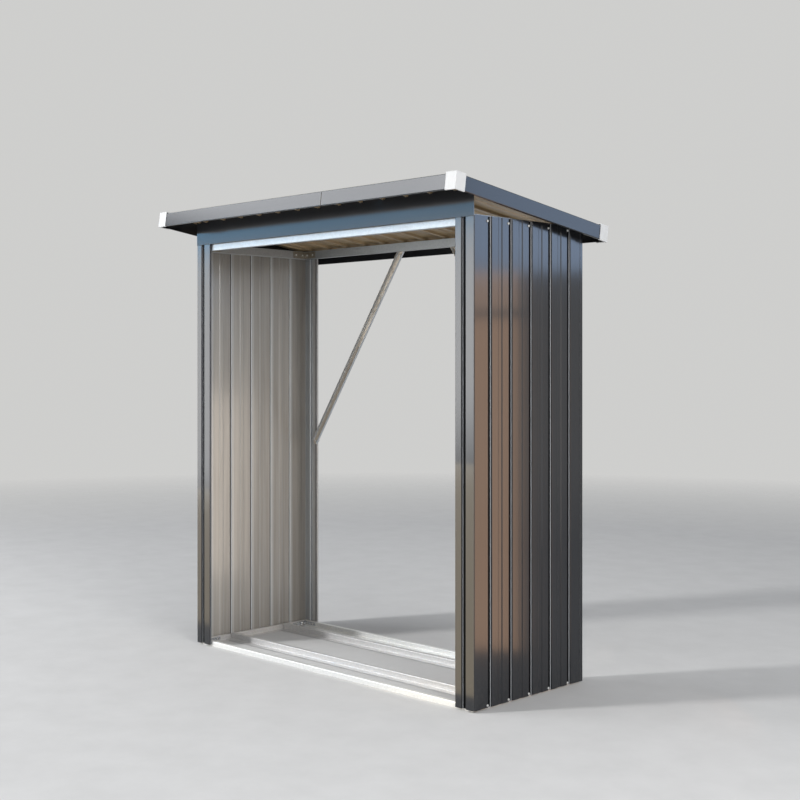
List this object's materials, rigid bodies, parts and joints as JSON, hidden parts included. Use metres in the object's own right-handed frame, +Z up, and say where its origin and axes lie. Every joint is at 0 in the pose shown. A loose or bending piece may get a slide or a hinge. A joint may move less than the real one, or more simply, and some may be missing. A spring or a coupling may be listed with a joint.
{
  "type": "open log store",
  "caption": "Open-fronted, open-backed log store of dark profiled steel sheet on a galvanised frame, with a single-pitch roof and white corner caps.",
  "frame": {"origin": "middle of the store's footprint, roof included, on the ground", "axes": "+X along the front to the right, +Y to the back, +Z up"},
  "size_m": [1.6732, 0.8464, 1.8101],
  "materials": {
    "painted_sheet": "satin anthracite coat outside, pale grey coat inside",
    "painted_trim": "satin anthracite coat",
    "galvanised_rail": "galvanised, satin",
    "zinc_bracket": "zinc plated",
    "white_cap": "smooth white moulding"
  },
  "bodies": {
    "root": {"side_wall_left": "painted_sheet", "side_wall_right": "painted_sheet", "front_left_post": "painted_sheet", "front_right_post": "painted_sheet", "rear_left_post": "painted_sheet", "rear_right_post": "painted_sheet", "front_header_panel": "painted_sheet", "roof_sheet_left": "painted_sheet", "roof_sheet_right": "painted_sheet", "front_trim_left": "painted_trim", "front_trim_right": "painted_trim", "rear_trim_left": "painted_trim", "rear_trim_right": "painted_trim", "left_trim": "painted_trim", "right_trim": "painted_trim", "front_base_rail": "galvanised_rail", "rear_base_rail": "galvanised_rail", "left_base_rail": "galvanised_rail", "right_base_rail": "galvanised_rail", "floor_rail_front": "galvanised_rail", "floor_rail_rear": "galvanised_rail", "front_top_rail": "galvanised_rail", "rear_top_rail": "galvanised_rail", "left_top_rail": "galvanised_rail", "right_top_rail": "galvanised_rail", "brace_left": "galvanised_rail", "brace_right": "galvanised_rail", "base_bracket_front_left": "zinc_bracket", "base_bracket_front_right": "zinc_bracket", "base_bracket_rear_left": "zinc_bracket", "base_bracket_rear_right": "zinc_bracket", "top_bracket_front_left": "zinc_bracket", "top_bracket_front_right": "zinc_bracket", "top_bracket_rear_left": "zinc_bracket", "top_bracket_rear_right": "zinc_bracket", "front_left_cap": "white_cap", "front_right_cap": "white_cap", "rear_left_cap": "white_cap", "rear_right_cap": "white_cap"}
  },
  "joints": []
}
